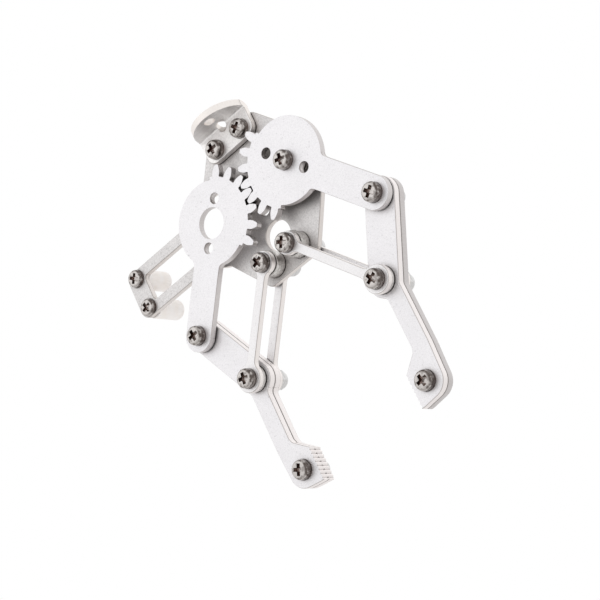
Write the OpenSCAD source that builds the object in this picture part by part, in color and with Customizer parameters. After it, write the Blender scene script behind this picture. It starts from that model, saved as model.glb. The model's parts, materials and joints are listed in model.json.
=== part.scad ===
// Electric two finger gripper: a plate claw whose two meshed sector gears carry parallel fingers.
// Millimetres. Z runs up the gripper axis from the fingertips to the wrist flange, X from the drive gear to the
// driven gear, and the gears face -Y. The origin is the centre of the wrist hole on the flange's top face.
// Each plate is drawn flat, x across, y up the gripper axis and z towards the viewer with the gears' front
// faces at z = 0, and stand() then stands it up in the shared frame.

/* [Show] */
// Piece to draw, or all of them

/* [Gears] */
// Tooth module
gear_module = 1.5; // [1.2:0.05:1.8]
// Teeth on a full circle
gear_teeth = 20; // [16:1:26]
// Teeth cut on each sector
sector_teeth = 7; // [5:1:8]
// Pressure angle in degrees
pressure_angle = 20; // [14.5:0.5:25]
// Play between meshed flanks, along the pitch circle
backlash = 0.2; // [0.1:0.05:0.4]
// Radius of the fillets at the roots of the teeth
root_fillet = 0.3; // [0.1:0.05:0.4]
// Radius of the plain part of each gear's disc
disc_r = 12.2; // [10:0.1:13]
// Diameter of the drive gear's centre hole, which clears the servo's horn screw
horn_bore_d = 8.9; // [5:0.1:10]
// Distance of each horn screw hole from its gear's axis
horn_hole_r = 7; // [5:0.1:9]
// Diameter of the horn screw holes
horn_hole_d = 3.2; // [1.5:0.1:3.4]

/* [Arms and links] */
// Pivot to pivot length of arms and links
arm_reach = 31.5; // [26:0.5:40]
// Angle of the arms from the gripper axis as drawn
rest_angle = 38.5; // [20:0.5:60]
// Width of the gear arms
arm_w = 9.2; // [8:0.1:11]
// Thickness of the gear arms
arm_t = 2; // [1.5:0.1:3]
// Radius of the fillets where an arm leaves its gear
arm_fillet = 1.6; // [0.5:0.1:3]
// Width of a link's bar
link_bar_w = 2.6; // [2.2:0.1:5]
// Diameter of a link's eye on the finger
link_eye_d = 7.8; // [7:0.1:9]
// Diameter of a link's eye on the base
link_base_eye_d = 6.6; // [6.2:0.1:8]
// Thickness of the links
link_t = 2; // [1.5:0.1:3]

/* [Base plate] */
// Thickness of the base plate
plate_t = 2; // [1.5:0.1:3]
// Distance from the gears' back faces to the base plate
gear_gap = 2.8; // [1.5:0.1:4]
// Distance of each link pivot from the gripper axis
link_pivot_x = 4.8; // [4.5:0.1:6]
// Distance of the link pivots below the gear axes
link_pivot_drop = 20.2; // [19.5:0.1:24]
// Plate beyond the gear axes at each side
plate_side = 4; // [3:0.1:6]
// Plate below the link pivots
plate_chin = 4.8; // [3.5:0.1:7]
// Plate beside the link pivots at the bottom edge
plate_chin_side = 4.2; // [3.5:0.1:7]
// Height of the plate's upper side corners above the gear axes
shoulder_h = 9.5; // [6:0.1:12]
// Depth of the plate's lower side corners below the gear axes
hip_h = 10.6; // [6:0.1:13]
// Radius of the plate's corners
plate_corner_r = 2.5; // [1:0.1:4]
// Diameter of the round window between the gears and the link pivots
window_d = 8.7; // [5:0.1:10]
// Depth of the round window's centre below the gear axes
window_drop = 13.8; // [12:0.1:15]

/* [Servo seat] */
// Diameter of the opening for the servo's output boss
boss_opening_d = 19; // [14:0.1:20]
// Width of the ring of plate round that opening
boss_ring_w = 2.5; // [2:0.1:4]
// Distance from the output axis to the far ear holes
far_ear = 34.9; // [30:0.1:45]
// Distance from the output axis to the near ear holes
near_ear = 14.6; // [13:0.1:18]
// Distance between the two holes of one ear
ear_pitch = 10; // [8:0.1:14]
// Diameter of the ear holes
ear_hole_d = 3.2; // [2:0.1:3.6]
// Clear space between the two bars that reach the far ear
bar_gap = 8.2; // [6:0.1:12]
// Width of each bar
bar_w = 3.4; // [2.5:0.1:6]
// Radius of the end piece's outer corners
end_corner_r = 3; // [1:0.1:4]
// Radius of the fillets in the frame's inner corners
frame_fillet = 1; // [0.5:0.1:2]
// Width of the end piece that joins the bars
end_w = 6.3; // [5:0.1:9]
// End piece beyond the far ear holes
end_out = 3.5; // [2.5:0.1:5]
// Length of the posts behind the far ear holes
post_len = 10.5; // [5:0.5:20]
// Diameter of the posts
post_d = 6; // [5:0.1:8]
// Diameter of the posts' tapped bores
post_bore_d = 2.5; // [2:0.1:3]

/* [Wrist bracket] */
// Thickness of the bracket's sheet
bracket_t = 2; // [1.5:0.1:3]
// Width of the bracket and diameter of its half round flange
bracket_w = 18.2; // [17:0.1:24]
// Height of the bracket's screws above the gear axes
bracket_screw_h = 18.6; // [18:0.1:26]
// Distance between the bracket's two screws
bracket_screw_pitch = 10; // [7:0.1:14]
// Leg below the bracket's screws
leg_below = 3.3; // [3:0.1:6]
// Leg from its screws up to the flange's underside
leg_above = 5.1; // [4:0.1:8]
// Radius of the leg's lower corners
leg_corner_r = 3; // [1:0.1:4]
// Inside radius of the bend
bend_r = 0.6; // [0.3:0.1:2]
// Diameter of the relief hole in the bend
relief_d = 3; // [2:0.1:5]
// Distance from the leg's front face to the wrist hole
wrist_out = 5.1; // [4:0.1:7]
// Diameter of the wrist hole
wrist_hole_d = 3.2; // [2.5:0.1:4.5]

/* [Fingers] */
// Thickness of each of a finger's two plates
finger_t = 2.4; // [1.5:0.1:3]
// Width of a finger between its two pivots
finger_w = 9.5; // [8:0.1:12]
// Width of a finger's straight shank
shank_w = 5.2; // [4:0.1:8]
// Distance from the link pivot out to the shank's middle
shank_out = 1.1; // [0:0.1:2]
// Distance from the link pivot down to where the shank widens
slope_drop = 20.6; // [16:0.1:22]
// Distance from the link pivot down to the top of the gripping face
grip_drop = 25; // [22:0.1:27]
// Length of the gripping face
grip_len = 9.7; // [7:0.1:12]
// Distance from the link pivot in to the gripping face
grip_in = 6.5; // [5:0.1:8]
// Distance from the link pivot down to the tip screw
tip_drop = 29.2; // [27:0.1:31]
// Distance from the link pivot in to the tip screw
tip_in = 1.8; // [1:0.1:3]
// Radius of the rounded back of the fingertip
tip_r = 5; // [4:0.1:6]
// Number of teeth across the gripping face
grip_teeth = 8; // [4:1:12]
// Depth of those teeth
grip_tooth_h = 0.3; // [0.2:0.05:0.8]
// Flat left on the crest between two of those teeth
grip_crest = 0.2; // [0.1:0.05:0.5]
// Radius of the fillets in a finger's inner corners
finger_fillet = 2; // [0.5:0.1:4]

/* [Fasteners] */
// Diameter of the screws
screw_d = 3; // [2.5:0.1:3.5]
// Diameter of the pan heads
head_d = 5.5; // [5:0.1:6.5]
// Height of the pan heads
head_h = 2.2; // [1.6:0.1:3]
// Diameter of the low heads of the post screws
low_head_d = 5.2; // [4.5:0.1:6]
// Height of those low heads
low_head_h = 1.4; // [1:0.1:2]
// Depth of the cross recess in a head
recess_h = 1.3; // [0.5:0.1:1.5]
// Width across flats of the lock nuts
nut_flats = 5.5; // [5:0.1:7]
// Height of a lock nut's hexagon
nut_hex_h = 2.9; // [2:0.1:4]
// Height of a lock nut's round collar
nut_collar_h = 1.1; // [0.5:0.1:2]
// Outside diameter of spacers and washers
spacer_d = 7.3; // [5:0.1:8]
// Thickness of the washers between arms and fingers
washer_t = 0.3; // [0.2:0.05:1]
// Thickness of the spacers between front links and fingers
link_spacer_t = 1.2; // [0.5:0.1:2]
// Thread that shows past a lock nut
thread_past_nut = 0.8; // [0.2:0.1:3]
// Thread of a post screw inside its post
post_thread = 3; // [2:0.1:4]

/* [Fits] */
// Radial clearance of a screw in a pivot it turns in
pivot_clearance = 0.06; // [0.02:0.01:0.1]
// Radial clearance of a screw in a hole it only passes through
hole_clearance = 0.1; // [0.05:0.01:0.2]
// Gap between faces that turn past each other
face_gap = 0.1; // [0.05:0.01:0.3]

/* [Hidden] */
eps = 0.01;
tooth_steps = 6;
curve_fn = 64;
fillet_fn = 32;
gear_x = gear_module * gear_teeth / 2;
pitch_r = gear_x;
base_r = pitch_r * cos(pressure_angle);
tip_circle_r = pitch_r + gear_module;
root_r = pitch_r - 1.25 * gear_module;
tooth_angle = 360 / gear_teeth;
pivot_r = screw_d / 2 + pivot_clearance;
pass_r = screw_d / 2 + hole_clearance;
nut_h = nut_hex_h + nut_collar_h;

// Levels along z, from the front back
arm_back = -arm_t;
plate_front = arm_back - gear_gap;
plate_back = plate_front - plate_t;
leg_front = plate_front + bracket_t;
finger_front = arm_back - face_gap - washer_t;
finger_mid = finger_front - finger_t;
finger_back = finger_mid - finger_t;
link_back = finger_front + link_spacer_t + face_gap;
link_front = link_back + link_t;
rear_link_front = min(finger_back, plate_back) - face_gap;
rear_link_back = rear_link_front - link_t;

// Heights along y
flange_under = bracket_screw_h + leg_above;
flange_top = flange_under + bracket_t;
plate_top = bracket_screw_h + leg_below + hole_clearance;
wrist_z = leg_front + wrist_out;

// Pivot points in the drawing plane, side is -1 for the drive gear's side and 1 for the driven gear's
link_from_arm = [link_pivot_x - gear_x, -link_pivot_drop];
function arm_dir(side) = [side * sin(rest_angle), -cos(rest_angle)];
function gear_axis(side) = [side * gear_x, 0];
function link_axis(side) = [side * link_pivot_x, -link_pivot_drop];
function arm_pivot(side) = gear_axis(side) + arm_reach * arm_dir(side);
function link_pivot(side) = link_axis(side) + arm_reach * arm_dir(side);
function tip_screw(side) = link_pivot(side) + [-side * tip_in, -tip_drop];

plate_color = [0.80, 0.80, 0.81];
arm_color = [0.92, 0.92, 0.93];
finger_color = [0.88, 0.88, 0.89];
link_color = [0.85, 0.85, 0.86];
steel_color = [0.25, 0.24, 0.24];
nut_color = [0.75, 0.74, 0.72];
post_color = [0.90, 0.87, 0.83];

// Stands the drawing plane up, with the wrist hole at the origin
module stand() { rotate([90, 0, 0]) translate([0, -flange_top, -wrist_z]) children(); }

module at(p, z = 0) { translate([p[0], p[1], z]) children(); }

// A sheet between two levels
module sheet(back, front) { translate([0, 0, back]) linear_extrude(front - back) children(); }

// A hole straight through everything between two levels
module bore(p, r, back, front) {
    at(p, back - eps) cylinder(r = r, h = front - back + 2 * eps, $fn = curve_fn);
}

// Fills inner corners with a radius and leaves outer ones sharp
module fillet(r) { offset(r = -r, $fn = fillet_fn) offset(delta = r) children(); }

// Rounds outer corners and leaves inner ones sharp
module round_corners(r) { offset(r = r, $fn = curve_fn) offset(delta = -r) children(); }

// ---- Gears ----

function inv(a) = tan(a) * 180 / PI - a;
function half_tooth(r) =
    tooth_angle / 4 - backlash / pitch_r * 45 / PI + inv(pressure_angle) - inv(acos(min(1, base_r / r)));
function polar(r, a) = [r * cos(a), r * sin(a)];

// One involute tooth pointing along +x, rooted inside the blank
module tooth() {
    from = max(base_r, root_r);
    side_a = [for (i = [0 : tooth_steps]) let (r = from + (tip_circle_r - from) * i / tooth_steps)
        polar(r, half_tooth(r))];
    side_b = [for (i = [tooth_steps : -1 : 0]) [side_a[i][0], -side_a[i][1]]];
    foot = root_r - gear_module / 2;
    polygon(concat([polar(foot, half_tooth(from))], side_a, side_b, [polar(foot, -half_tooth(from))]));
}

// The toothed sector, centred on mesh_a, its teeth shifted by a share of a tooth
module tooth_sector(mesh_a, shift) {
    span = sector_teeth * tooth_angle;
    turn = mesh_a + shift * tooth_angle;
    intersection() {
        circle(r = root_r, $fn = 2 * curve_fn);
        rotate(turn - span / 2)
            polygon(concat([[0, 0]], [for (i = [0 : sector_teeth]) polar(2 * root_r, i * tooth_angle)]));
    }
    for (i = [0 : sector_teeth - 1]) rotate(turn + (i - (sector_teeth - 1) / 2) * tooth_angle) tooth();
}

// A gear disc with its arm, its axis at the origin
module gear_arm_outline(side, mesh_a, shift) {
    fillet(root_fillet) {
        fillet(arm_fillet) {
            circle(r = disc_r, $fn = 2 * curve_fn);
            rotate(side * rest_angle - 90) translate([0, -arm_w / 2]) square([arm_reach, arm_w]);
            translate(arm_reach * arm_dir(side)) rotate(side * rest_angle) circle(d = arm_w, $fn = curve_fn);
        }
        tooth_sector(mesh_a, shift);
    }
}

module gear_arm(side, mesh_a, shift, axis_r) {
    difference() {
        at(gear_axis(side)) sheet(arm_back, 0) gear_arm_outline(side, mesh_a, shift);
        bore(gear_axis(side), axis_r, arm_back, 0);
        for (way = [-1, 1])
            bore(gear_axis(side) + way * horn_hole_r * arm_dir(side), horn_hole_d / 2, arm_back, 0);
        bore(arm_pivot(side), pivot_r, arm_back, 0);
    }
}

module drive_gear_arm() { color(arm_color) stand() gear_arm(-1, 0, 0, horn_bore_d / 2); }
module driven_gear_arm() { color(arm_color) stand() gear_arm(1, 180, -0.5, pivot_r); }

// ---- Links ----

module link(side, back) {
    difference() {
        sheet(back, back + link_t) fillet(link_bar_w) {
            translate(link_axis(side)) circle(d = link_base_eye_d, $fn = curve_fn);
            translate(link_pivot(side)) circle(d = link_eye_d, $fn = curve_fn);
            translate(link_axis(side)) rotate(side * rest_angle - 90)
                translate([0, -link_bar_w / 2]) square([arm_reach, link_bar_w]);
        }
        for (p = [link_axis(side), link_pivot(side)]) bore(p, pivot_r, back, back + link_t);
    }
}

module drive_front_link() { color(link_color) stand() link(-1, link_back); }
module drive_rear_link() { color(link_color) stand() link(-1, rear_link_back); }
module driven_front_link() { color(link_color) stand() link(1, link_back); }
module driven_rear_link() { color(link_color) stand() link(1, rear_link_back); }

// ---- Fingers ----

// A finger's outline on the driven side, its arm pivot at the origin
module finger_outline() {
    c = link_from_arm;
    shank_in = c[0] + shank_out - shank_w / 2;
    tip = c + [-tip_in, -tip_drop];
    grip_x = c[0] - grip_in;
    grip_top = c[1] - grip_drop;
    pitch = grip_len / grip_teeth;
    bar_a = atan2(c[1], c[0]);
    difference() {
        union() {
            fillet(finger_fillet) {
                rotate(bar_a) hull() for (x = [0, norm(c)])
                    translate([x, 0]) circle(d = finger_w, $fn = curve_fn);
                translate([shank_in, c[1] - slope_drop]) square([shank_w, slope_drop]);
                polygon([[shank_in, c[1]], [shank_in, c[1] - slope_drop], [grip_x, grip_top],
                    [grip_x, grip_top - grip_len], tip, [shank_in + shank_w / 2, c[1]]]);
            }
            hull() {
                translate([shank_in, c[1] - slope_drop]) square([shank_w, 1]);
                intersection() {
                    translate(tip) circle(r = tip_r, $fn = curve_fn);
                    translate([tip[0], tip[1] - tip_r]) square([tip_r, 2 * tip_r]);
                }
                translate([grip_x, grip_top - grip_len]) square([1, 1]);
            }
        }
        for (i = [0 : grip_teeth - 1]) translate([grip_x, grip_top - (i + 0.5) * pitch])
            polygon([[-grip_tooth_h, pitch - grip_crest], [grip_tooth_h, 0], [-grip_tooth_h, grip_crest - pitch]]);
    }
}

module finger_plate(side, back) {
    difference() {
        at(arm_pivot(side)) sheet(back, back + finger_t) mirror([(1 - side) / 2, 0]) finger_outline();
        for (p = [arm_pivot(side), link_pivot(side), tip_screw(side)]) bore(p, pass_r, back, back + finger_t);
    }
}

module drive_finger_front() { color(finger_color) stand() finger_plate(-1, finger_mid); }
module drive_finger_rear() { color(finger_color) stand() finger_plate(-1, finger_back); }
module driven_finger_front() { color(finger_color) stand() finger_plate(1, finger_mid); }
module driven_finger_rear() { color(finger_color) stand() finger_plate(1, finger_back); }

// ---- Base plate and servo seat ----

far_x = -gear_x - far_ear;
near_x = -gear_x + near_ear;
ear_rows = [-ear_pitch / 2, ear_pitch / 2];

module plate_body() {
    top_x = bracket_w / 2 + hole_clearance;
    side_x = gear_x + plate_side;
    chin_x = link_pivot_x + plate_chin_side;
    chin_y = -link_pivot_drop - plate_chin;
    round_corners(plate_corner_r) polygon([[top_x, plate_top], [side_x, shoulder_h], [side_x, -hip_h],
        [chin_x, chin_y], [-chin_x, chin_y], [-side_x, -hip_h], [-side_x, shoulder_h], [-top_x, plate_top]]);
}

module servo_frame() {
    frame_h = bar_gap + 2 * bar_w;
    left = far_x - end_out;
    difference() {
        round_corners(end_corner_r) translate([left, -frame_h / 2]) square([-gear_x - left, frame_h]);
        translate([left + end_w, -bar_gap / 2]) square([-gear_x - left - end_w + eps, bar_gap]);
    }
}

module base_plate() {
    color(plate_color) stand() difference() {
        sheet(plate_back, plate_front) fillet(frame_fillet) {
            plate_body();
            translate([-gear_x, 0]) circle(d = boss_opening_d + 2 * boss_ring_w, $fn = 2 * curve_fn);
            servo_frame();
        }
        bore(gear_axis(-1), boss_opening_d / 2, plate_back, plate_front);
        bore([0, -window_drop], window_d / 2, plate_back, plate_front);
        bore(gear_axis(1), pass_r, plate_back, plate_front);
        for (side = [-1, 1]) {
            bore(link_axis(side), pass_r, plate_back, plate_front);
            bore([side * bracket_screw_pitch / 2, bracket_screw_h], pass_r, plate_back, plate_front);
        }
        for (y = ear_rows, x = [near_x, far_x]) bore([x, y], ear_hole_d / 2, plate_back, plate_front);
    }
}

module servo_posts() {
    color(post_color) stand() for (y = ear_rows) difference() {
        at([far_x, y], plate_back - post_len) cylinder(d = post_d, h = post_len, $fn = curve_fn);
        bore([far_x, y], post_bore_d / 2, plate_back - post_len, plate_back);
        at([far_x, y], plate_back - post_thread - face_gap)
            cylinder(r = pivot_r, h = post_thread + face_gap + eps, $fn = curve_fn);
    }
}

// ---- Wrist bracket ----

// The bracket's bent section, drawn with z across and y up, longer than its legs
module bracket_section() {
    reach = 2 * bracket_w;
    difference() {
        translate([plate_front, flange_top]) mirror([0, 1]) round_corners(bend_r + bracket_t) square(reach);
        translate([leg_front, flange_under]) mirror([0, 1]) round_corners(bend_r) square(reach);
    }
}

module wrist_bracket() {
    half_w = bracket_w / 2;
    leg_foot = bracket_screw_h - leg_below;
    color(plate_color) stand() difference() {
        intersection() {
            translate([half_w, 0, 0]) rotate([0, -90, 0]) linear_extrude(bracket_w) bracket_section();
            union() {
                sheet(plate_front - eps, leg_front + bend_r) round_corners(leg_corner_r)
                    translate([-half_w, leg_foot])
                        square([bracket_w, flange_top - leg_foot + 2 * leg_corner_r]);
                translate([0, flange_top + eps, 0]) rotate([90, 0, 0])
                    linear_extrude(bracket_t + bend_r) fillet(eps) {
                        translate([0, leg_front - bracket_t / 2]) circle(d = bracket_w, $fn = 2 * curve_fn);
                        translate([-half_w, plate_front - eps]) square([bracket_w, bracket_t + bend_r]);
                    }
            }
        }
        at([0, flange_under], leg_front) rotate([45, 0, 0])
            cylinder(d = relief_d, h = 4 * bracket_t, center = true, $fn = curve_fn);
        for (side = [-1, 1])
            bore([side * bracket_screw_pitch / 2, bracket_screw_h], pass_r, plate_front, leg_front);
        translate([0, flange_under - eps, wrist_z]) rotate([-90, 0, 0])
            cylinder(d = wrist_hole_d, h = bracket_t + 2 * eps, $fn = curve_fn);
    }
}

// ---- Fasteners ----

// A pan head screw, its head's seat at z = 0 and its shank down to z = -reach
module pan_screw(reach, wide = head_d, high = head_h) {
    r = wide / 2;
    crown = high * 0.55;
    rim = high - crown;
    deep = min(recess_h, 0.8 * high);
    difference() {
        union() {
            rotate_extrude($fn = curve_fn) polygon(concat([[0, 0], [r, 0]],
                [for (a = [0 : 15 : 90]) [r - crown + crown * cos(a), rim + crown * sin(a)]], [[0, high]]));
            translate([0, 0, -reach]) cylinder(d = screw_d, h = reach + eps, $fn = curve_fn);
        }
        for (a = [0, 90]) rotate(a) translate([-0.33 * wide, -0.1 * wide, high - deep])
            cube([0.66 * wide, 0.2 * wide, deep + eps]);
        translate([0, 0, high - deep])
            cylinder(r1 = 0.1 * wide, r2 = 0.2 * wide, h = deep + eps, $fn = curve_fn);
    }
}

// A lock nut whose seat faces +z at z = 0
module lock_nut() {
    difference() {
        union() {
            translate([0, 0, -nut_hex_h]) cylinder(d = nut_flats / cos(30), h = nut_hex_h, $fn = 6);
            translate([0, 0, -nut_h]) cylinder(d = nut_flats - 0.4, h = nut_collar_h + eps, $fn = curve_fn);
        }
        translate([0, 0, -nut_h - eps])
            cylinder(r = screw_d / 2 + pivot_clearance, h = nut_h + 2 * eps, $fn = curve_fn);
    }
}

// A washer, spacer or bush between two levels
module spacer(p, back, front) {
    difference() {
        at(p, back) cylinder(d = spacer_d, h = front - back, $fn = curve_fn);
        bore(p, pass_r, back, front);
    }
}

// Screws through a stack, from the head's seat to the nut's seat
module screw_at(p, seat, nut_seat) { at(p, seat) pan_screw(seat - nut_seat + nut_h + thread_past_nut); }
module nut_at(p, seat) { at(p, seat) lock_nut(); }

bracket_holes = [for (side = [-1, 1]) [side * bracket_screw_pitch / 2, bracket_screw_h]];
link_seat = link_front + face_gap;
link_nut_seat = rear_link_back - face_gap;

module wrist_bracket_screws() {
    color(steel_color) stand() for (p = bracket_holes) screw_at(p, leg_front, plate_back);
}
module wrist_bracket_nuts() { color(nut_color) stand() for (p = bracket_holes) nut_at(p, plate_back); }

module servo_post_screws() {
    color(steel_color) stand() for (y = ear_rows)
        at([far_x, y], plate_front) pan_screw(plate_t + post_thread, low_head_d, low_head_h);
}

module driven_gear_bush() {
    color(steel_color) stand() spacer(gear_axis(1), plate_front, arm_back - face_gap);
}
module driven_gear_screw() { color(steel_color) stand() screw_at(gear_axis(1), face_gap, plate_back); }
module driven_gear_nut() { color(nut_color) stand() nut_at(gear_axis(1), plate_back); }

module link_standoffs() {
    color(nut_color) stand() for (side = [-1, 1])
        spacer(link_axis(side), plate_front, link_back - face_gap);
}
module link_rear_spacers() {
    color(nut_color) stand() for (side = [-1, 1])
        spacer(link_axis(side), rear_link_front + face_gap, plate_back);
}
module link_base_screws() {
    color(steel_color) stand() for (side = [-1, 1]) screw_at(link_axis(side), link_seat, link_nut_seat);
}
module link_base_nuts() {
    color(nut_color) stand() for (side = [-1, 1]) nut_at(link_axis(side), link_nut_seat);
}

module arm_screw(side) { color(steel_color) stand() screw_at(arm_pivot(side), face_gap, finger_back); }
module arm_washer(side) {
    color(nut_color) stand() spacer(arm_pivot(side), finger_front, finger_front + washer_t);
}
module arm_nut(side) { color(nut_color) stand() nut_at(arm_pivot(side), finger_back); }
module link_screw(side) { color(steel_color) stand() screw_at(link_pivot(side), link_seat, link_nut_seat); }
module link_spacer(side) {
    color(nut_color) stand() spacer(link_pivot(side), finger_front, finger_front + link_spacer_t);
}
module link_nut(side) { color(nut_color) stand() nut_at(link_pivot(side), link_nut_seat); }
module tip_bolt(side) { color(steel_color) stand() screw_at(tip_screw(side), finger_front, finger_back); }
module tip_lock(side) { color(nut_color) stand() nut_at(tip_screw(side), finger_back); }

module drive_arm_screw() { arm_screw(-1); }
module drive_arm_washer() { arm_washer(-1); }
module drive_arm_nut() { arm_nut(-1); }
module drive_link_screw() { link_screw(-1); }
module drive_link_spacer() { link_spacer(-1); }
module drive_link_nut() { link_nut(-1); }
module drive_tip_screw() { tip_bolt(-1); }
module drive_tip_nut() { tip_lock(-1); }
module driven_arm_screw() { arm_screw(1); }
module driven_arm_washer() { arm_washer(1); }
module driven_arm_nut() { arm_nut(1); }
module driven_link_screw() { link_screw(1); }
module driven_link_spacer() { link_spacer(1); }
module driven_link_nut() { link_nut(1); }
module driven_tip_screw() { tip_bolt(1); }
module driven_tip_nut() { tip_lock(1); }

base_plate();
servo_posts();
servo_post_screws();
wrist_bracket();
wrist_bracket_screws();
wrist_bracket_nuts();
driven_gear_bush();
driven_gear_screw();
driven_gear_nut();
link_standoffs();
link_rear_spacers();
link_base_screws();
link_base_nuts();
drive_gear_arm();
driven_gear_arm();
drive_front_link();
drive_rear_link();
driven_front_link();
driven_rear_link();
drive_finger_front();
drive_finger_rear();
drive_arm_screw();
drive_arm_washer();
drive_arm_nut();
drive_link_screw();
drive_link_spacer();
drive_link_nut();
drive_tip_screw();
drive_tip_nut();
driven_finger_front();
driven_finger_rear();
driven_arm_screw();
driven_arm_washer();
driven_arm_nut();
driven_link_screw();
driven_link_spacer();
driven_link_nut();
driven_tip_screw();
driven_tip_nut();
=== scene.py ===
"""An electric two finger gripper without its servo: blasted aluminium sheets, cross-recess screws and lock nuts."""

import json
import math

import bmesh
import bpy
from mathutils import Matrix, Vector

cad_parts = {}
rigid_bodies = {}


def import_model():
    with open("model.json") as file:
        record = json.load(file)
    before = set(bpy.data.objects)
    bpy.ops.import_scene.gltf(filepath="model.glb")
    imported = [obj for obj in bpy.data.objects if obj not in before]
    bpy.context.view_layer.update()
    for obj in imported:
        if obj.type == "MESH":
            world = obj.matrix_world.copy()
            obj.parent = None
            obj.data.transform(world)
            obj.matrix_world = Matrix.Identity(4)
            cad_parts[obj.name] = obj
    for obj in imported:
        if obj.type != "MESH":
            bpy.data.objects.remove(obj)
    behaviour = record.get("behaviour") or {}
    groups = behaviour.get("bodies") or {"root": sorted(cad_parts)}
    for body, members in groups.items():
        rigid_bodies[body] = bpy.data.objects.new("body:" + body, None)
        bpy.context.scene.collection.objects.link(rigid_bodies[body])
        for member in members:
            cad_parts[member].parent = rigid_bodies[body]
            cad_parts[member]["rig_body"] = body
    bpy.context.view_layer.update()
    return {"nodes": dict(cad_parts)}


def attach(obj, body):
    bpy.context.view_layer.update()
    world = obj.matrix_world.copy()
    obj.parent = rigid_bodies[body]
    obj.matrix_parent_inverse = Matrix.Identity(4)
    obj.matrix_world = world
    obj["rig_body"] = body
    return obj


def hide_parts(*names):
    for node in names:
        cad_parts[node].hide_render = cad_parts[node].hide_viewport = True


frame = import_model()
MM = 0.001

# ---- Camera, floor and lamps ----
# The gripper hangs by its wrist, so the camera looks up at it from below and to the right, a little rolled.
# The floor is a plain pale sheet under it, and everything round it is white.

CAMERA_PLACE = (0.2192, -0.3511, -0.2331)
CAMERA_TURN = (114.57, 23.26, 41.99)
CAMERA_LENS = 101.7
CAMERA_SENSOR = 36.0
FLOOR_HEIGHT = -0.25
FLOOR_HALF = 6.0
FLOOR_WHITE_FROM = 0.6
FLOOR_WHITE_AT = 2.0
FLOOR_COLOUR = (0.9, 0.895, 0.89, 1.0)
WHITE = (1.0, 1.0, 1.0, 1.0)
WORLD_STRENGTH = 0.95
LAMPS = {
    "key_softbox": {"place": (-0.45, -0.75, 0.55), "size": 0.6, "power": 0.3},
    "side_softbox": {"place": (0.75, -0.35, -0.15), "size": 0.6, "power": 0.15},
    "back_softbox": {"place": (0.1, 0.85, 0.35), "size": 0.6, "power": 0.25},
}
LAMPS_AIM = (0.0, 0.006, -0.055)


class Reading:
    """A value that varies over a surface. Arithmetic on it adds Math nodes."""

    def __init__(self, paint, socket):
        self.paint, self.socket = paint, socket

    def reckon(self, operation, first, second):
        return self.paint.node("Math", {"operation": operation}, {0: first, 1: second})

    def __add__(self, other):
        return self.reckon("ADD", self, other)

    def __sub__(self, other):
        return self.reckon("SUBTRACT", self, other)

    def __rsub__(self, other):
        return self.reckon("SUBTRACT", other, self)

    def __mul__(self, other):
        return self.reckon("MULTIPLY", self, other)

    def __abs__(self):
        return self.reckon("ABSOLUTE", self, 0.0)

    __radd__ = __add__
    __rmul__ = __mul__


class Paint:
    """The nodes of a material or of the world, each made by node()."""

    def __init__(self, owner):
        owner.use_nodes = True
        self.owner = owner
        self.tree = owner.node_tree
        self.tree.nodes.clear()

    def node(self, kind, settings=(), sockets=(), out=0):
        made = self.tree.nodes.new("ShaderNode" + kind)
        for name, value in dict(settings).items():
            setattr(made, name, value)
        for key, value in dict(sockets).items():
            if isinstance(value, Reading):
                self.tree.links.new(value.socket, made.inputs[key])
            else:
                made.inputs[key].default_value = value
        return Reading(self, made.outputs[out]) if len(made.outputs) else made

    def rise(self, value, low, high):
        """0 where a value is under low, 1 where it is over high."""
        return self.node("MapRange", {"interpolation_type": "SMOOTHSTEP"},
                         {"Value": value, "From Min": low, "From Max": high})

    def blend(self, share, under, over):
        """One colour, turning to another as share goes to 1."""
        return self.node("Mix", {"data_type": "RGBA"}, {0: share, 6: under, 7: over}, out=2)

    def part(self, vector, axis):
        """One coordinate of a place or of a direction."""
        return self.node("SeparateXYZ", (), {0: vector}, out=axis)

    def noise(self, place, size, detail, roughness=0.5):
        """Soft clouds of a size in millimetres."""
        return self.node("TexNoise", (), {"Vector": place, "Scale": 1 / (size * MM), "Detail": detail,
                                          "Roughness": roughness})

    def crevice(self, reach, samples=8):
        """0 in the open, 1 deep in a gap, within a reach in millimetres."""
        return 1.0 - self.node("AmbientOcclusion", {"samples": samples}, {"Distance": reach * MM}, out="AO")

    def finish(self, colour, rough, relief, strength, depth, metallic=1.0):
        """Closes a material with its colour, roughness and a fine relief of a depth in millimetres."""
        bump = self.node("Bump", (), {"Strength": strength, "Distance": depth * MM, "Height": relief})
        body = self.node("BsdfPrincipled", (), {"Base Color": colour, "Roughness": rough, "Metallic": metallic,
                                                "Normal": bump})
        self.node("OutputMaterial", (), {"Surface": body})
        return self.owner


def link_in(piece):
    bpy.context.scene.collection.objects.link(piece)
    return piece


camera_data = bpy.data.cameras.new("camera")
camera_data.lens = CAMERA_LENS
camera_data.sensor_width = CAMERA_SENSOR
camera_data.clip_start = 10 * MM
camera = link_in(bpy.data.objects.new("camera", camera_data))
camera.location = CAMERA_PLACE
camera.rotation_euler = [math.radians(a) for a in CAMERA_TURN]
bpy.context.scene.camera = camera
bpy.context.scene.view_settings.view_transform = "Standard"

world = bpy.data.worlds.new("white_room")
bpy.context.scene.world = world
room = Paint(world)
seen = room.node("LightPath", out="Is Camera Ray") + room.node("LightPath", out="Is Glossy Ray")
lit = room.node("Background", (), {"Color": WHITE, "Strength": WORLD_STRENGTH})
shown = room.node("Background", (), {"Color": WHITE, "Strength": 1.0})
room.node("OutputWorld", (), {"Surface": room.node("MixShader", (), {0: seen, 1: lit, 2: shown})})

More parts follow.
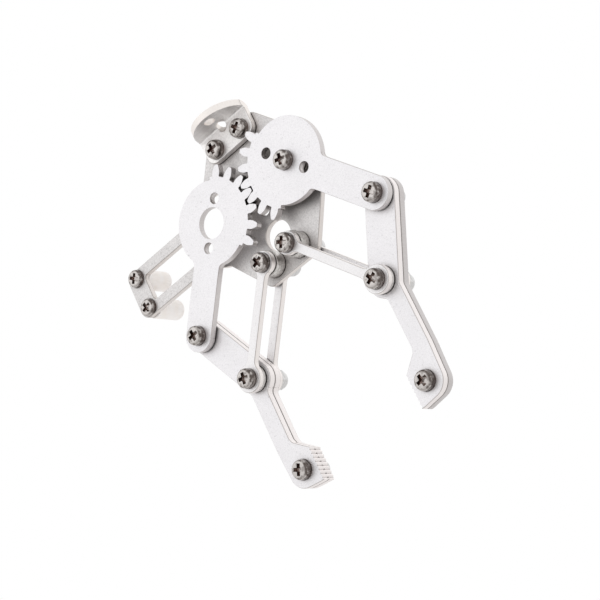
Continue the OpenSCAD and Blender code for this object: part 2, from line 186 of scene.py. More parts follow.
for lamp_name, lamp in LAMPS.items():
    lamp_data = bpy.data.lights.new(lamp_name, "AREA")
    lamp_data.size = lamp["size"]
    lamp_data.energy = lamp["power"]
    softbox = link_in(bpy.data.objects.new(lamp_name, lamp_data))
    softbox.location = lamp["place"]
    softbox.rotation_euler = (Vector(LAMPS_AIM) - Vector(lamp["place"])).to_track_quat("-Z", "Y").to_euler()

bpy.ops.object.select_all(action="DESELECT")
bpy.ops.mesh.primitive_plane_add(size=2 * FLOOR_HALF, location=(0, 0, FLOOR_HEIGHT))
floor = bpy.context.active_object
floor.name = "floor"
sheet = Paint(bpy.data.materials.new("pale_floor"))
across = sheet.node("TexCoord", out="Object")
away = sheet.node("VectorMath", {"operation": "LENGTH"}, {0: across}, out="Value")
matt = sheet.node("BsdfDiffuse", (), {"Color": FLOOR_COLOUR})
glow = sheet.node("Emission", (), {"Color": WHITE, "Strength": 1.0})
seen = sheet.node("LightPath", out="Is Camera Ray") + sheet.node("LightPath", out="Is Glossy Ray")
fade = sheet.rise(away, FLOOR_WHITE_FROM, FLOOR_WHITE_AT) * seen
sheet.node("OutputMaterial", (), {"Surface": sheet.node("MixShader", (), {0: fade, 1: matt, 2: glow})})
floor.data.materials.append(sheet.owner)

# ---- Base plate ----
# One 2 mm sheet that carries both gears, both links and the servo, laser cut and bead-blasted to a soft grey.
# Its edges are broken by tumbling, so every rim has a fine round that catches the light.

PLATE_TONE = (0.775, 0.755, 0.75, 1.0)
PLATE_GRAIN = 0.5
PLATE_GRAIN_DEPTH = 0.26
PLATE_SHADE = {"reach": 6.0, "colour": (0.18, 0.157, 0.143, 1.0)}
SHEET_EDGE = 0.3
SAME_POINT = 0.02
FLAT_WITHIN = 1.0
SHARP_FROM = 30.0
BLAST_FLECK = 0.62
BLAST_MOTTLE = 9.0
BLAST_DEPTH = 0.025
CUT_STREAK = 0.22
ALONG_THE_CUT = (1.0, 0.08, 1.0)
FLECK_TINT = (0.78, 0.78, 0.78)
CUT_TINT = (1.0, 0.965, 0.93)
# Painted shade along the rounded rims, where the face turns to the cut wall.
RIM_SHADE_TINT = (0.52, 0.49, 0.465)
# Painted shade in seams and gaps, deeper where other surfaces stand closer.
GAP_REACH = 1.2
LINE_REACH = 0.45
GAP_SHADE_TONE = (0.055, 0.043, 0.038, 1.0)


def only(piece):
    bpy.ops.object.select_all(action="DESELECT")
    piece.select_set(True)
    bpy.context.view_layer.objects.active = piece


def apply_modifier(piece, kind, **settings):
    made = piece.modifiers.new(kind.lower(), kind)
    for name, value in settings.items():
        setattr(made, name, value)
    only(piece)
    bpy.ops.object.modifier_apply(modifier=made.name)


def bare_copy(node, name):
    """A copy of a CAD node's mesh, its triangles merged into whole faces."""
    piece = link_in(bpy.data.objects.new(name, frame["nodes"][node].data.copy()))
    piece.data.materials.clear()
    only(piece)
    bpy.ops.mesh.customdata_custom_splitnormals_clear()
    bpy.ops.object.mode_set(mode="EDIT")
    bpy.ops.mesh.select_all(action="SELECT")
    bpy.ops.mesh.remove_doubles(threshold=SAME_POINT * MM)
    bpy.ops.mesh.dissolve_limited(angle_limit=math.radians(FLAT_WITHIN))
    bpy.ops.object.mode_set(mode="OBJECT")
    return piece


def break_edges(piece, radius, segments=2, sharp=SHARP_FROM, share=None):
    """Rounds a piece's sharp edges, each by its share of a radius, and shades curves smooth and flats flat."""
    only(piece)
    bpy.ops.object.mode_set(mode="EDIT")
    mesh = bmesh.from_edit_mesh(piece.data)
    weight = mesh.edges.layers.float.new("bevel_weight_edge")
    for edge in mesh.edges:
        if edge.calc_face_angle(0.0) > math.radians(sharp):
            edge[weight] = 1.0 if share is None else share(edge)
    bmesh.update_edit_mesh(piece.data)
    bpy.ops.object.mode_set(mode="OBJECT")
    apply_modifier(piece, "BEVEL", width=radius * MM, segments=segments, limit_method="WEIGHT",
                   use_clamp_overlap=False, loop_slide=False, miter_outer="MITER_ARC")
    only(piece)
    bpy.ops.object.shade_smooth_by_angle(angle=math.radians(sharp))
    apply_modifier(piece, "WEIGHTED_NORMAL", keep_sharp=True, weight=100)


def tinted(tone, tint):
    """A tone with its red, green and blue each turned down by a tint."""
    return tuple(c * t for c, t in zip(tone, tint)) + (1.0,)


class BlastedSheet:
    """Bead-blasted aluminium in layers: grain, cut walls, flecks and painted rim shade, then what is a piece's own.
    """

    def __init__(self, name, tone, walls=1.04, grain_depth=0.12, grain_size=0.34, facing=None):
        self.paint = paint = Paint(bpy.data.materials.new(name))
        self.tone = self.colour = tone
        self.place = paint.node("TexCoord", out="Object")
        self.normal = paint.node("NewGeometry", out="Normal")
        self.grain = paint.noise(self.place, grain_size, 3.0, 0.7)
        self.mottle = paint.noise(self.place, BLAST_MOTTLE, 2.0)
        self.flecks = paint.rise(paint.noise(self.place, BLAST_FLECK, 1.0), 0.64, 0.8)
        along = paint.node("Mapping", {"vector_type": "POINT"}, {"Vector": self.place, "Scale": ALONG_THE_CUT})
        self.streaks = paint.noise(along, CUT_STREAK, 2.0)
        # How closely other surfaces stand: the mask for the painted seam shade.
        self.close = paint.crevice(LINE_REACH)
        flat = facing(self) if facing else abs(paint.part(self.normal, "Y"))
        self.wall = 1.0 - paint.rise(flat, 0.3, 0.7)
        rim_shade = paint.rise(flat, 0.02, 0.25) * (1.0 - paint.rise(flat, 0.88, 0.995))

        face = paint.rise(self.grain, 0.36, 0.7) * 0.7 + paint.rise(self.mottle, 0.35, 0.75) * 0.2
        self.lay(face, tinted(tone, [1.0 - grain_depth] * 3))
        self.lay(self.wall * (self.streaks * 0.4 + 0.6), tinted(tone, [walls * t for t in CUT_TINT]))
        self.lay(self.flecks * (1.0 - self.wall) * 0.8, tinted(tone, FLECK_TINT))
        # Painted shade: a darker band along each rounded rim.
        self.lay(rim_shade * 0.9, tinted(tone, RIM_SHADE_TINT))

    def lay(self, share, colour):
        """Lays one more colour over the others, by its share."""
        self.colour = self.paint.blend(share, self.colour, colour)
        return self

    def shade(self, reach, colour):
        """A broad soft shade where other pieces stand close."""
        dim = self.paint.crevice(reach)
        return self.lay(self.paint.rise(dim, 0.08, 0.6) * 0.5 + self.paint.rise(dim, 0.42, 0.75) * 0.35, colour)

    def gap_shade(self, line_from=0.2):
        """Painted shade: a dark line in each seam, and the dark of each deeper gap."""
        self.lay(self.paint.rise(self.close, line_from, line_from + 0.3) * 0.75, GAP_SHADE_TONE)
        return self.lay(self.paint.rise(self.paint.crevice(GAP_REACH), 0.5, 0.85) * 0.9, GAP_SHADE_TONE)

    def metal(self):
        """The finished material, with its grain and its cut streaks in relief."""
        rough = self.grain * 0.18 + self.flecks * 0.06 + 0.40
        relief = self.grain * (1.0 - self.wall) + self.streaks * self.wall * 1.4 - self.flecks * 0.4
        return self.paint.finish(self.colour, rough, relief, 0.3, BLAST_DEPTH)


def fit(piece, node, material):
    """Gives a piece its material, and its place on the body of the CAD node that it stands for."""
    piece.data.materials.clear()
    piece.data.materials.append(material)
    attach(piece, frame["nodes"][node]["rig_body"])
    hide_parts(node)


plate_sheet = BlastedSheet("grey_blasted_plate", PLATE_TONE, grain_depth=PLATE_GRAIN_DEPTH, grain_size=PLATE_GRAIN)
plate_metal = plate_sheet.shade(**PLATE_SHADE).gap_shade().metal()
plate = bare_copy("base_plate", "base_plate_sheet")
break_edges(plate, SHEET_EDGE)
fit(plate, "base_plate", plate_metal)

# ---- Wrist bracket ----
# A 2 mm strip folded at a right angle, with a relief hole cut at the fold between its two screws.
# The round flange takes the wrist screw, and its underside is brushed along the fold, with a painted shade where it
# looks down.

BRACKET_TONE = (0.99, 0.97, 0.96, 1.0)
BRACKET_GRAIN = 0.5
BRACKET_GRAIN_DEPTH = 0.2
BRACKET_WALLS = 0.9
BRUSH_LINE = 0.5
ALONG_THE_FOLD = (0.07, 1.0, 1.0)
UNDERSIDE_SHADE_TINT = (0.8, 0.8, 0.8)
FLANGE_UNDER = -2.05
FOLD_FROM = -2.6
FOLD_FRONT = 4.4
FOLD_BACK = 7.2


def fold_share(edge):
    """The fold and the relief hole in it stay crisp."""
    crisp = all(v.co.z > FOLD_FROM * MM and v.co.y < FOLD_BACK * MM for v in edge.verts)
    return 0.0 if crisp else 1.0


def bracket_facing(sheet):
    """1 on the strip's faces and 0 on its cut walls, along the flange, round the fold and down the leg."""
    paint = sheet.paint
    sideways, frontward, upward = (abs(paint.part(sheet.normal, axis)) for axis in "XYZ")
    depth, height = (paint.part(sheet.place, axis) for axis in "YZ")
    level = paint.rise(height, (FLANGE_UNDER - 0.2) * MM, FLANGE_UNDER * MM)
    bent = (paint.rise(height, (FOLD_FROM - 0.05) * MM, (FOLD_FROM + 0.05) * MM)
            * paint.rise(depth, (FOLD_FRONT - 0.1) * MM, FOLD_FRONT * MM))
    flat = level * upward + (1.0 - level) * frontward
    return bent * (1.0 - sideways) + (1.0 - bent) * flat


def brush_and_shade_underside(sheet):
    """Fine brushed lines along the fold, and a painted shade over the side of the flange that looks down."""
    paint = sheet.paint
    along = paint.node("Mapping", {"vector_type": "POINT"}, {"Vector": sheet.place, "Scale": ALONG_THE_FOLD})
    lines = paint.rise(paint.noise(along, BRUSH_LINE, 4.0, 0.7), 0.35, 0.62)
    down = paint.rise(paint.part(sheet.normal, "Z") * -1.0, 0.5, 0.9)
    # Painted shade: the downward face is darkened, broken up by the brush lines and the mottle.
    return sheet.lay(down * (lines * 0.7 + 0.3 * paint.rise(sheet.mottle, 0.4, 0.6)), tinted(sheet.tone, UNDERSIDE_SHADE_TINT))


bracket_strip = BlastedSheet("blasted_bracket_brushed_and_shaded_below", BRACKET_TONE, walls=BRACKET_WALLS,
                             grain_depth=BRACKET_GRAIN_DEPTH, grain_size=BRACKET_GRAIN, facing=bracket_facing)
bracket_metal = brush_and_shade_underside(bracket_strip).gap_shade().metal()
bracket = bare_copy("wrist_bracket", "wrist_bracket_sheet")
break_edges(bracket, SHEET_EDGE, share=fold_share)
fit(bracket, "wrist_bracket", bracket_metal)

# ---- Gear arms ----
# Each arm is one sheet with a toothed sector at its head. The drive gear takes the servo's horn.
# They have the palest finish of all, with single flecks left by the blasting.

ARM_TONE = (0.885, 0.87, 0.885, 1.0)
ARM_WALLS = 0.74
ARM_EDGE = 0.18
TOOTH_EDGE = 0.7
TOOTH_SHADE = 2.5
TEETH_FROM = 12.8
GEAR_AXIS = (0.015, 0.0, -0.0257)


def tooth_share(edge):
    """The short edges round the teeth are broken less than the long ones."""
    return 0.4 if edge.calc_length() < TOOTH_EDGE * MM else 1.0


def shade_tooth_roots(sheet):
    """Shadow between the teeth. The horn's holes lie nearer the axis and have none."""
    paint = sheet.paint
    across, down = (paint.part(sheet.place, axis) for axis in "XZ")
    spot = paint.node("CombineXYZ", (), {0: abs(across), 2: down})
    from_axis = paint.node("VectorMath", {"operation": "DISTANCE"}, {0: spot, 1: GEAR_AXIS}, out="Value")
    teeth = paint.rise(from_axis, (TEETH_FROM - 0.5) * MM, TEETH_FROM * MM)
    return sheet.lay(teeth * sheet.wall * paint.rise(paint.crevice(TOOTH_SHADE), 0.2, 0.55) * 0.8, GAP_SHADE_TONE)


arm_metal = shade_tooth_roots(BlastedSheet("pale_blasted_gears", ARM_TONE, walls=ARM_WALLS)).gap_shade().metal()
for node in ("drive_gear_arm", "driven_gear_arm"):
    arm = bare_copy(node, node + "_sheet")
    break_edges(arm, ARM_EDGE, share=tooth_share)
    fit(arm, node, arm_metal)

# ---- Links ----
# Four slim bars with an eye at each end keep the fingers parallel, one in front and one behind on each side.
# They are cut from the same 2 mm sheet as the plate and tumbled and blasted with it.

LINK_TONE = (0.90, 0.885, 0.89, 1.0)

link_metal = BlastedSheet("blasted_links", LINK_TONE).gap_shade().metal()
for node in ("drive_front_link", "drive_rear_link", "driven_front_link", "driven_rear_link"):
    link = bare_copy(node, node + "_bar")
    break_edges(link, SHEET_EDGE)
    fit(link, node, link_metal)

# ---- Fingers ----
# Two thicker sheets lie face to face in each finger, with a fine seam between them and notches in the grip face.
# The driven finger's rear sheet has darker cut walls, a painted shade on that one sheet.

FINGER_TONE = (0.89, 0.875, 0.89, 1.0)
FINGER_SHADE = {"reach": 2.2, "colour": (0.48, 0.455, 0.445, 1.0)}
FINGER_SEAM = 0.12
SHADED_WALLS = 0.65
NOTCHES_X = 18.6
NOTCHES_Z = -74.0
NOTCH_SHADES = ({"depth": 7.1, "strength": 0.95}, {"depth": 4.7, "strength": 0.55}, {"depth": 9.5, "strength": 0.4})


def finger_share(edge):
    """The notches keep crisp crests, and the rest is tumbled round."""
    crisp = all(abs(v.co.x) < NOTCHES_X * MM and v.co.z < NOTCHES_Z * MM for v in edge.verts)
    return 0.0 if crisp else 1.0


def finger_finish(name, **cut_walls):
    """A finger's sheet, with shadow in its notches at the seam and at its two outer faces."""
    sheet = BlastedSheet(name, FINGER_TONE, **cut_walls).shade(**FINGER_SHADE).gap_shade(FINGER_SEAM)
    paint = sheet.paint
    across, depth = (paint.part(sheet.place, axis) for axis in "XY")
    inner = 1.0 - paint.rise(abs(across), (NOTCHES_X - 0.4) * MM, NOTCHES_X * MM)
    for shade in NOTCH_SHADES:
        near = 1.0 - paint.rise(abs(depth - shade["depth"] * MM), 0.15 * MM, 0.45 * MM)
        sheet.lay(near * inner * paint.rise(sheet.close, 0.04, 0.2) * shade["strength"], GAP_SHADE_TONE)
    return sheet.metal()


finger_metal = finger_finish("blasted_fingers")
# Painted shade: the same finger finish with darker cut walls, for the driven finger's rear sheet.
shaded_wall_finger_metal = finger_finish("finger_sheet_with_painted_wall_shade", walls=SHADED_WALLS)
for node, metal in {"drive_finger_front": finger_metal, "drive_finger_rear": finger_metal,
                    "driven_finger_front": finger_metal, "driven_finger_rear": shaded_wall_finger_metal}.items():
    finger = bare_copy(node, node + "_sheet")
    break_edges(finger, SHEET_EDGE, share=finger_share)
    fit(finger, node, metal)

# ---- Standoffs, spacers, washers and the gear bush ----
# Turned from round aluminium bar, with a small chamfer at each end and fine rings left by the lathe.

TURNED_TONE = (0.74, 0.72, 0.70, 1.0)
TURNED_EDGE = 0.25
WASHER_EDGE = 0.06
TURNED_SHARP = 50.0
TURNING_PITCH = 0.16
TURNED_CLOUD = 0.7
TURNED_TINT = (0.5, 0.48, 0.465)


def turned_metal_finish(name, tone, clouding=0.5):
    """Turned metal: clouded, with fine rings along the axis, which runs front to back, and painted shade where parts
    meet.
    """
    paint = Paint(bpy.data.materials.new(name))
    place = paint.node("TexCoord", out="Object")
    rings = paint.node("TexWave", {"wave_type": "BANDS", "bands_direction": "Y"},
                       {"Vector": place, "Scale": 0.05 / (TURNING_PITCH * MM), "Distortion": 0.4,
                        "Detail": 2.0, "Detail Scale": 4.0})
    cloud = paint.noise(place, TURNED_CLOUD, 4.0)
    share = rings * 0.25 + paint.rise(cloud, 0.4, 0.65) * clouding
    colour = paint.blend(share, tone, tinted(tone, TURNED_TINT))
    # Painted shade where the spacers, washers and nuts stand against other parts.
    colour = paint.blend(paint.rise(paint.crevice(0.5), 0.2, 0.5) * 0.85, colour, GAP_SHADE_TONE)
    return paint.finish(colour, rings * 0.1 + cloud * 0.12 + 0.24, rings + cloud * 0.5, 0.15, 0.02)


turned_metal = turned_metal_finish("turned_spacers", TURNED_TONE)
for node, edge, steps in (
        ("link_standoffs", TURNED_EDGE, 1), ("link_rear_spacers", TURNED_EDGE, 1),
        ("drive_link_spacer", TURNED_EDGE, 1), ("driven_link_spacer", TURNED_EDGE, 1),
        ("driven_gear_bush", TURNED_EDGE, 1), ("drive_arm_washer", WASHER_EDGE, 2),
        ("driven_arm_washer", WASHER_EDGE, 2)):
    turned = bare_copy(node, node + "_turned")
    break_edges(turned, edge, segments=steps, sharp=TURNED_SHARP)
    fit(turned, node, turned_metal)

# ---- Servo posts ----
# Two nylon posts stand behind the far bar, each held by a screw through it and bored for the servo's own screw.
# They are moulded, smooth and a little creamy, with well rounded free ends.

NYLON_TONE = (0.985, 0.95, 0.93, 1.0)
NYLON_TINT = (0.975, 0.955, 0.93)
POST_EDGE = 1.1
POST_BORE_D = 2.5
BORE_RIM = 0.6
BARELY = 0.15


def nylon(name, tone):
    """Moulded nylon: faint clouds of colour and a fine satin skin."""
    paint = Paint(bpy.data.materials.new(name))
    place = paint.node("TexCoord", out="Object")
    cloud = paint.noise(place, 3.0, 3.0)
    skin = paint.noise(place, 0.25, 2.0)
    colour = paint.blend(paint.rise(cloud, 0.35, 0.7), tone, tinted(tone, NYLON_TINT))
    return paint.finish(colour, skin * 0.2 + 0.38, skin, 0.2, 0.02, metallic=0.0)


def solid_boxes(node):
    """The lowest and highest corner of each solid of a CAD node."""
    loose = bare_copy(node, "loose_solids")
    bpy.ops.object.mode_set(mode="EDIT")
    bpy.ops.mesh.select_all(action="SELECT")
    bpy.ops.mesh.separate(type="LOOSE")
    bpy.ops.object.mode_set(mode="OBJECT")
    boxes = []
    for solid in [loose] + [o for o in bpy.context.selected_objects if o != loose]:
        points = [v.co for v in solid.data.vertices]
        boxes.append(tuple(Vector([pick_end(p[i] for p in points) for i in range(3)]) for pick_end in (min, max)))
        bpy.data.objects.remove(solid)
    return sorted(boxes, key=lambda box: tuple(box[0]))


post_nylon = nylon("cream_nylon_posts", NYLON_TONE)
posts = bare_copy("servo_posts", "servo_posts_moulded")
rear = max(v.co.y for v in posts.data.vertices) - 0.01 * MM
bores = POST_BORE_D / 2 + BORE_RIM
middles = [Vector((sum(box[i][0] for i in range(2)) / 2, 0, sum(box[i][2] for i in range(2)) / 2))
           for box in solid_boxes("servo_posts")]


def post_share(edge):
    """The free ends are well rounded, and the seats and bores only just."""
    middle = (edge.verts[0].co + edge.verts[1].co) / 2
    off = min(math.hypot(middle.x - m.x, middle.z - m.z) for m in middles)
    return 1.0 if middle.y > rear and off > bores * MM else BARELY


break_edges(posts, POST_EDGE, segments=5, sharp=50.0, share=post_share)
fit(posts, "servo_posts", post_nylon)

# ---- Screws ----
# M3 pan head screws with a deep cross recess, rolled threads and a bright nickel finish.
# One head is made and copied, and every thread is cut to its own screw's length.

PAN_HEAD = {"wide": 5.5, "high": 2.2, "dome": 0.95, "recess": 1.35}
LOW_HEAD = {"wide": 5.2, "high": 1.4, "dome": 0.8, "recess": 1.0}
RECESS_SPAN = 0.69
RECESS_WIDTH = 0.215
RECESS_CORE = 0.36
RECESS_TIP_R = 0.35
RECESS_TAPER = 0.8
HEAD_RIM = 0.05
HEAD_SEAT_ROUND = 0.12
THREAD_D = 3.0
THREAD_PITCH = 0.5
THREAD_DEPTH = 0.26
SCREW_POINT = 0.3
SCREW_TAPER = 0.78
THREAD_RISE = 0.36
THREAD_CREST = 0.14
THREAD_STEPS = 20
FUSED = 0.001
HEAD_SHARP = 38.0
FIRST_TURN = 15.0
NEXT_TURN = 37.0
STEEL_TONE = (0.56, 0.53, 0.51, 1.0)
DOME_REFLECTION_TINT = (0.37, 0.345, 0.33)
DARK_TINT = (0.15, 0.125, 0.115)
RECESS_SHADE_TONE = (0.25, 0.18, 0.155, 1.0)
SCREW_NODES = {
    "servo_post_screws": "low", "wrist_bracket_screws": "pan", "driven_gear_screw": "pan", "link_base_screws": "pan",
    "drive_arm_screw": "pan", "driven_arm_screw": "pan", "drive_link_screw": "pan", "driven_link_screw": "pan",
    "drive_tip_screw": "pan", "driven_tip_screw": "pan",
}


def pick(piece, edges=None, faces=None):
    """In edit mode, selects just the edges or faces that a test on each one passes."""
    mesh = bmesh.from_edit_mesh(piece.data)
    for group in (mesh.verts, mesh.edges, mesh.faces):
        for part in group:
            part.select = False
    bpy.context.tool_settings.mesh_select_mode = (False, edges is not None, faces is not None)
    for part in mesh.edges if edges is not None else mesh.faces:
        if (edges or faces)(part):
            part.select_set(True)
    bmesh.update_edit_mesh(piece.data)


def cut(piece, tool, operation="DIFFERENCE"):
    """Cuts a piece with a tool, or joins or crosses them, and throws the tool away."""
    apply_modifier(piece, "BOOLEAN", object=tool, operation=operation, solver="EXACT")
    bpy.data.objects.remove(tool)


def height_of(part):
    return sum(v.co.z for v in part.verts) / len(part.verts)


def screw_head(name, wide, high, dome, recess):
    """A domed head with a cross recess, its seat at the origin."""
    bpy.ops.object.select_all(action="DESELECT")
    bpy.ops.mesh.primitive_cylinder_add(vertices=48, radius=wide / 2 * MM, depth=high * MM,
                                        location=(0, 0, high / 2 * MM))
    head = bpy.context.active_object
    head.name = name
    bpy.ops.object.transform_apply()
    bpy.ops.object.mode_set(mode="EDIT")
    pick(head, edges=lambda e: min(v.co.z for v in e.verts) > 0.99 * high * MM)
    bpy.ops.mesh.bevel(offset=dome * MM, segments=6, profile=0.5, affect="EDGES")
    pick(head, edges=lambda e: max(v.co.z for v in e.verts) < 0.01 * high * MM)
    bpy.ops.mesh.bevel(offset=HEAD_SEAT_ROUND * MM, segments=2, affect="EDGES")
    bpy.ops.object.mode_set(mode="OBJECT")
    for blade_turn in (0.0, 90.0):
        bpy.ops.object.select_all(action="DESELECT")
        bpy.ops.mesh.primitive_cube_add(size=1.0, location=(0, 0, (high + 0.5 * recess) * MM))
        blade = bpy.context.active_object
        blade.scale = (RECESS_SPAN * wide * MM, RECESS_WIDTH * wide * MM, 3 * recess * MM)
        blade.rotation_euler.z = math.radians(blade_turn)
        bpy.ops.object.transform_apply(location=True, rotation=True, scale=True)
        bpy.ops.object.mode_set(mode="EDIT")
        pick(blade, faces=lambda f: f.normal.z < -0.9)
        bpy.ops.transform.resize(value=(RECESS_TAPER, RECESS_TAPER, 1.0))
        bpy.ops.object.mode_set(mode="OBJECT")
        cut(head, blade)
    bpy.ops.object.select_all(action="DESELECT")
    bpy.ops.mesh.primitive_cone_add(vertices=16, radius1=RECESS_TIP_R * MM, radius2=RECESS_CORE * wide * MM,
                                    depth=3 * recess * MM, location=(0, 0, (high + 0.5 * recess) * MM))
    cut(head, bpy.context.active_object)
    break_edges(head, HEAD_RIM, sharp=HEAD_SHARP)
    return head


heads = {"pan": screw_head("pan_head", **PAN_HEAD), "low": screw_head("low_head", **LOW_HEAD)}


def threaded_rod(length):
    """A rod with a rolled thread from under the head down to its tip."""
    turns = math.ceil(length / THREAD_PITCH) + 4
    bpy.ops.object.select_all(action="DESELECT")
    bpy.ops.mesh.primitive_plane_add(size=MM)
    rod = bpy.context.active_object
    bpy.ops.object.mode_set(mode="EDIT")
    profile = bmesh.from_edit_mesh(rod.data)
    bmesh.ops.delete(profile, geom=profile.verts[:], context="VERTS")
    crest, root = THREAD_D / 2, THREAD_D / 2 - THREAD_DEPTH
    fall = THREAD_RISE + THREAD_CREST
    steps = [(root, 0.0), (crest, THREAD_RISE), (crest, fall), (root, fall + THREAD_RISE), (root, 1.0)]
    corners = [profile.verts.new((r * MM, 0, z * THREAD_PITCH * MM)) for r, z in steps]
    for low, high in zip(corners, corners[1:]):
        profile.edges.new((low, high))
    bmesh.update_edit_mesh(rod.data)
    bpy.ops.object.mode_set(mode="OBJECT")
    rod.location.z = -(turns - 2) * THREAD_PITCH * MM
    bpy.ops.object.transform_apply()
    apply_modifier(rod, "SCREW", axis="Z", angle=2 * math.pi, screw_offset=THREAD_PITCH * MM, iterations=turns,
                   steps=THREAD_STEPS, render_steps=THREAD_STEPS, use_merge_vertices=True,
                   merge_threshold=FUSED * MM)
    only(rod)
    bpy.ops.object.mode_set(mode="EDIT")
    bpy.ops.mesh.select_all(action="SELECT")
    bpy.ops.mesh.remove_doubles(threshold=FUSED * MM)
    for level, way in ((0.4, 1), (SCREW_POINT - length, -1)):
        bpy.ops.mesh.select_all(action="SELECT")
        bpy.ops.mesh.bisect(plane_co=(0, 0, level * MM), plane_no=(0, 0, way), use_fill=True, clear_outer=True,
                            threshold=1e-4 * MM)
    bpy.ops.mesh.select_all(action="SELECT")
    bpy.ops.mesh.normals_make_consistent(inside=False)
    pick(rod, faces=lambda f: f.normal.z < -0.99 and height_of(f) < (SCREW_POINT - length + 0.01) * MM)
    bpy.ops.mesh.extrude_region_move(TRANSFORM_OT_translate={"value": (0, 0, -SCREW_POINT * MM)})
    bpy.ops.transform.resize(value=(SCREW_TAPER, SCREW_TAPER, 1.0))
    bpy.ops.object.mode_set(mode="OBJECT")
    return rod


def place_in(master, middle, seat, turn):
    """A copy of a fastener made about the origin, its axis turned to run front to back at its place."""
    copy = link_in(bpy.data.objects.new("placed", master.data.copy()))
    copy.data.transform(Matrix.Translation((middle.x, seat, middle.z))
                        @ Matrix.Rotation(math.radians(90), 4, "X") @ Matrix.Rotation(math.radians(turn), 4, "Z"))
    return copy


def joined(parts, name):
    only(parts[0])
    for part in parts[1:]:
        part.select_set(True)
    if len(parts) > 1:
        bpy.ops.object.join()
    parts[0].name = name
    parts[0].data.name = name
    return parts[0]


def bright_nickel(name, tone):
    """Plated steel: glossy, clouded where the plating is thin, pale on the head, with painted reflection on dome and
    side and painted shade in recess and thread.
    """
    paint = Paint(bpy.data.materials.new(name))
    place = paint.node("TexCoord", out="Object")
    normal = paint.node("NewGeometry", out="Normal")
    cloud = paint.noise(place, 1.1, 3.0)
    fine = paint.noise(place, 0.12, 2.0)
    flat = abs(paint.part(normal, "Y"))
    # Painted reflection: a darker band round the dome and a darker flank, by how the head's surface faces.
    ring = paint.rise(flat, 0.45, 0.62) * (1.0 - paint.rise(flat, 0.82, 0.94))
    flank = 1.0 - paint.rise(flat, 0.1, 0.35)
    # Painted reflection: darker patches on the side of each head that faces +X.
    side = paint.rise(paint.part(normal, "X"), 0.1, 0.5)
    wear_and_reflection = paint.rise(cloud, 0.5, 0.6)
    mid, deep = tinted(tone, DOME_REFLECTION_TINT), tinted(tone, DARK_TINT)
    colour = paint.blend(ring * (wear_and_reflection * 0.5 + 0.4), tone, mid)
    colour = paint.blend(flank * 0.85, colour, mid)
    # Clouds of thin plating, heavier on the flank, where they add to the painted reflection.
    colour = paint.blend(wear_and_reflection * (0.45 + 0.3 * flank), colour, deep)
    colour = paint.blend(side * paint.rise(cloud, 0.38, 0.5) * 0.8, colour, deep)
    # Painted shade in the cross recess and between the threads.
    colour = paint.blend(paint.rise(paint.crevice(1.1), 0.25, 0.5) * 0.95, colour, RECESS_SHADE_TONE)
    return paint.finish(colour, cloud * 0.14 + fine * 0.08 + 0.10, fine + cloud, 0.25, 0.015)


screw_steel = bright_nickel("bright_nickel_screws", STEEL_TONE)
wholes = {}
turn = FIRST_TURN
for node, kind in SCREW_NODES.items():
    tall = (LOW_HEAD if kind == "low" else PAN_HEAD)["high"]
    placed = []
    for low, high in solid_boxes(node):
        length = round((high.y - low.y) / MM - tall, 3)
        if (kind, length) not in wholes:
            whole = link_in(bpy.data.objects.new("screw", heads[kind].data.copy()))
            cut(whole, threaded_rod(length), "UNION")
            wholes[kind, length] = whole
        placed.append(place_in(wholes[kind, length], (low + high) / 2, low.y + tall * MM, turn))
        turn += NEXT_TURN
    screws = joined(placed, node + "_steel")
    only(screws)
    bpy.ops.object.shade_smooth_by_angle(angle=math.radians(HEAD_SHARP))
    fit(screws, node, screw_steel)
for whole in list(wholes.values()) + list(heads.values()):
    bpy.data.objects.remove(whole)

# ---- Lock nuts ----
# Zinc plated hexagon nuts, chamfered at both ends, with a collar rolled over a nylon ring that grips the thread.
# Each one holds a screw behind the sheets, and its ring shows inside the collar.

NUT_FLATS = 5.5
NUT_HEX_H = 2.9
NUT_COLLAR_H = 1.1
NUT_BORE_D = 3.06
NUT_RIM = 0.07
NUT_SHARP = 28.0
NUT_CHAMFER_SEAT = 0.42
NUT_CHAMFER_TOP = 0.55
CHAMFER_FLARE = 1.6
COLLAR_D = 5.1
COLLAR_ROUND = 0.5
RING_D = 4.1
RING_SEAT = 0.2
RING_BELOW = 0.18
RING_ROUND = 0.15
RING_SHARP = 40.0
NUT_CLOUDING = 0.15
NUT_TONE = (0.72, 0.715, 0.71, 1.0)
RING_TONE = (0.80, 0.80, 0.78, 1.0)
NUT_NODES = ("wrist_bracket_nuts", "driven_gear_nut", "link_base_nuts", "drive_arm_nut", "driven_arm_nut",
             "drive_link_nut", "driven_link_nut", "drive_tip_nut", "driven_tip_nut")


def round_bar(name, radius, low, high, vertices=48, top_radius=None):
    """A round or tapered bar between two heights on the origin's axis."""
    bpy.ops.object.select_all(action="DESELECT")
    bpy.ops.mesh.primitive_cone_add(vertices=vertices, radius1=radius * MM,
                                    radius2=(radius if top_radius is None else top_radius) * MM,
                                    depth=(high - low) * MM, location=(0, 0, (low + high) / 2 * MM))
    bar = bpy.context.active_object
    bar.name = name
    bpy.ops.object.transform_apply()
    return bar


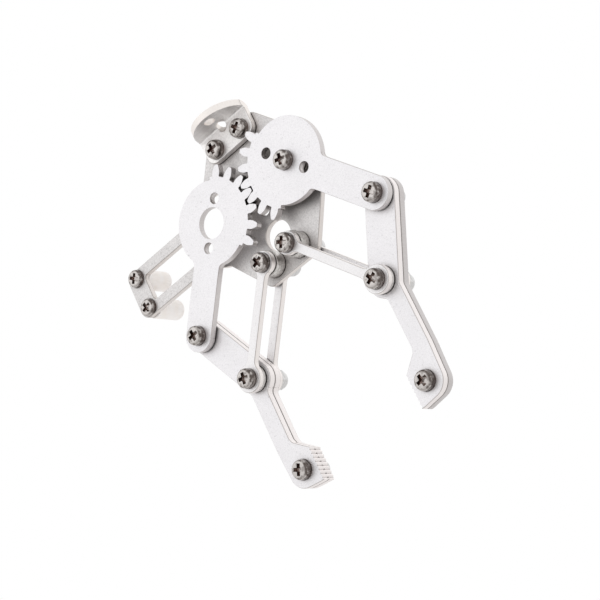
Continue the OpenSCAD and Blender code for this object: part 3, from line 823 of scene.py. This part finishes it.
nut_top = NUT_HEX_H + NUT_COLLAR_H
corner_r = NUT_FLATS / math.sqrt(3)
nut = round_bar("lock_nut", corner_r, 0.0, NUT_HEX_H, vertices=6)
for seat_r, top_r in ((corner_r - NUT_CHAMFER_SEAT, corner_r + CHAMFER_FLARE),
                      (corner_r + CHAMFER_FLARE, corner_r - NUT_CHAMFER_TOP)):
    cut(nut, round_bar("chamfer", seat_r, 0.0, NUT_HEX_H, 64, top_r), "INTERSECT")
collar = round_bar("collar", COLLAR_D / 2, NUT_HEX_H - 0.3, nut_top)
bpy.ops.object.mode_set(mode="EDIT")
pick(collar, edges=lambda e: min(v.co.z for v in e.verts) > (nut_top - 0.01) * MM)
bpy.ops.mesh.bevel(offset=COLLAR_ROUND * MM, segments=4, affect="EDGES")
bpy.ops.object.mode_set(mode="OBJECT")
cut(nut, collar, "UNION")
cut(nut, round_bar("bore", NUT_BORE_D / 2, -1.0, nut_top + 1.0))
cut(nut, round_bar("seat", RING_D / 2, NUT_HEX_H - RING_SEAT, nut_top + 1.0))
break_edges(nut, NUT_RIM, sharp=NUT_SHARP)
ring = round_bar("grip_ring", RING_D / 2 - 0.01, NUT_HEX_H - RING_SEAT, nut_top - RING_BELOW)
cut(ring, round_bar("bore", NUT_BORE_D / 2, -1.0, nut_top + 1.0))
break_edges(ring, RING_ROUND, segments=3, sharp=RING_SHARP)

nut_zinc = turned_metal_finish("zinc_nuts", NUT_TONE, clouding=NUT_CLOUDING)
ring_nylon = nylon("white_nylon_rings", RING_TONE)
for node in NUT_NODES:
    shells, rings = [], []
    for low, high in solid_boxes(node):
        for master, group in ((nut, shells), (ring, rings)):
            copy = link_in(bpy.data.objects.new("placed", master.data.copy()))
            copy.data.transform(Matrix.Translation(((low.x + high.x) / 2, low.y, (low.z + high.z) / 2))
                                @ Matrix.Rotation(math.radians(-90), 4, "X"))
            group.append(copy)
    nuts = joined(shells, node + "_zinc")
    fit(nuts, node, nut_zinc)
    inserts = joined(rings, node + "_rings")
    inserts.data.materials.append(ring_nylon)
    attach(inserts, frame["nodes"][node]["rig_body"])
for master in (nut, ring):
    bpy.data.objects.remove(master)
